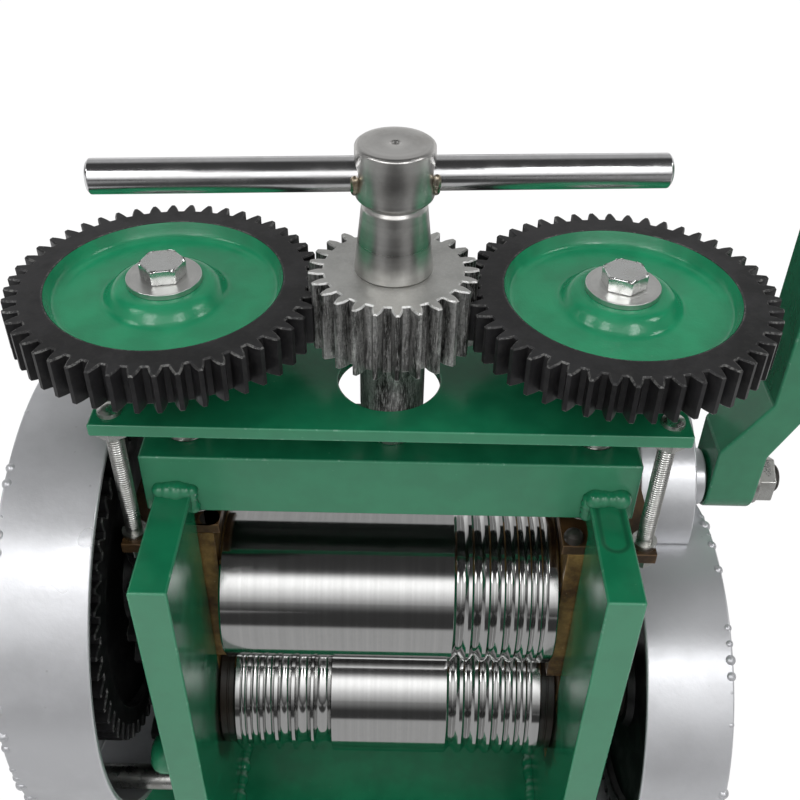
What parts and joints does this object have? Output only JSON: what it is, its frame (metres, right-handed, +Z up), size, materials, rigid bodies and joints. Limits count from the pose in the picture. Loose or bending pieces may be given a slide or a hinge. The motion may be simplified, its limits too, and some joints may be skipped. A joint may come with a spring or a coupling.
{
  "type": "jewellers rolling mill",
  "caption": "Hand-cranked bench rolling mill with geared screw-down, smooth and grooved rolls, open steel frame and round gear covers.",
  "frame": {"origin": "centre of the bench bolt pattern, on the underside of the floor plate", "axes": "+Z up from the bench; +X along the rolls towards the crank; the work is fed from -Y to +Y"},
  "size_m": [0.3945, 0.188, 0.3386],
  "materials": {
    "green_enamel": "thick glossy enamel with runs",
    "silver_paint": "silver paint over weld spatter",
    "black_gear": "oiled black, worn bright at the tooth tips",
    "roll_steel": "fine ground",
    "bright_zinc": "bright turned plating",
    "zinc": "dull zinc plate",
    "grey_pinion": "matte, mottled flanks",
    "bronze": "oily cast bronze",
    "dark_steel": "dark oiled steel",
    "grip": "smooth"
  },
  "bodies": {
    "frame": {"base_plate": "green_enamel", "side_plate_left": "green_enamel", "side_plate_right": "green_enamel", "top_beam": "green_enamel", "frame_welds": "green_enamel", "plate_plug": "green_enamel", "lower_bearing_left": "bronze", "lower_bearing_right": "bronze", "pinion_post": "zinc", "plate_bush": "bronze", "cover_bush": "bronze", "left_gear_cover": "silver_paint", "cover_studs": "zinc", "cover_nuts": "zinc", "right_gear_cover": "silver_paint", "pinion_cover": "silver_paint", "cover_posts": "zinc", "cover_screws": "zinc"},
    "carriage": {"lift_plate": "green_enamel", "lift_studs": "zinc", "stud_nuts": "zinc", "yoke_left": "dark_steel", "yoke_right": "dark_steel", "upper_bearing_left": "bronze", "upper_bearing_right": "bronze", "bearing_bolts": "dark_steel", "thrust_pads": "zinc"},
    "screw_left": {"pressure_screw_left": "zinc", "screw_ring_left": "dark_steel", "screw_sleeve_left": "dark_steel", "screw_gear_left": "black_gear", "gear_washer_left": "zinc", "gear_bolt_left": "zinc"},
    "screw_right": {"pressure_screw_right": "zinc", "screw_ring_right": "dark_steel", "screw_sleeve_right": "dark_steel", "screw_gear_right": "black_gear", "gear_washer_right": "zinc", "gear_bolt_right": "zinc"},
    "upper_roll": {"upper_roll": "roll_steel", "upper_coupling_gear": "black_gear", "upper_wheel": "black_gear", "upper_end_ring": "dark_steel"},
    "lower_roll": {"lower_roll": "roll_steel", "roll_collars": "dark_steel", "lower_coupling_gear": "black_gear", "drive_wheel": "black_gear", "lower_end_rings": "dark_steel"},
    "adjuster": {"adjusting_pinion": "grey_pinion", "t_post": "bright_zinc", "t_bar": "bright_zinc"},
    "crank": {"crank_shaft": "dark_steel", "shaft_ring": "dark_steel", "crank_pinion": "black_gear", "crank_arm": "green_enamel", "crank_washer": "zinc", "crank_nut": "zinc", "grip_pin": "zinc"},
    "grip": {"crank_grip": "grip"}
  },
  "joints": [
    {"name": "adjuster_turn", "type": "hinge", "parent": "frame", "child": "adjuster", "pos_m": [0, 0, 0.28], "axis": [0, 0, -1], "range_deg": [0, 2073.6]},
    {"name": "carriage_lift", "type": "slide", "parent": "frame", "child": "carriage", "axis": [0, 0, 1], "range_m": [0, 0.006]},
    {"name": "screw_left_turn", "type": "hinge", "parent": "carriage", "child": "screw_left", "pos_m": [-0.073, 0, 0.28], "axis": [0, 0, 1], "range_deg": [0, 1080]},
    {"name": "screw_right_turn", "type": "hinge", "parent": "carriage", "child": "screw_right", "pos_m": [0.073, 0, 0.28], "axis": [0, 0, 1], "range_deg": [0, 1080]},
    {"name": "lower_roll_turn", "type": "hinge", "parent": "frame", "child": "lower_roll", "pos_m": [0, 0, 0.0843], "axis": [1, 0, 0], "continuous": true},
    {"name": "upper_roll_turn", "type": "hinge", "parent": "carriage", "child": "upper_roll", "pos_m": [0, 0, 0.1497], "axis": [1, 0, 0], "continuous": true},
    {"name": "crank_turn", "type": "hinge", "parent": "frame", "child": "crank", "pos_m": [0.14, 0.04342, 0.1688], "axis": [1, 0, 0], "continuous": true},
    {"name": "grip_turn", "type": "hinge", "parent": "crank", "child": "grip", "pos_m": [0.2, 0.04342, 0.31679], "axis": [1, 0, 0], "continuous": true}
  ],
  "couplings": [
    {"joint": "adjuster_turn", "follows": "carriage_lift", "rad_per_m": 6031.9},
    {"joint": "screw_left_turn", "follows": "carriage_lift", "rad_per_m": 3141.6},
    {"joint": "screw_right_turn", "follows": "carriage_lift", "rad_per_m": 3141.6},
    {"joint": "upper_roll_turn", "follows": "lower_roll_turn", "ratio": -1},
    {"joint": "crank_turn", "follows": "lower_roll_turn", "ratio": -1.9231}
  ]
}
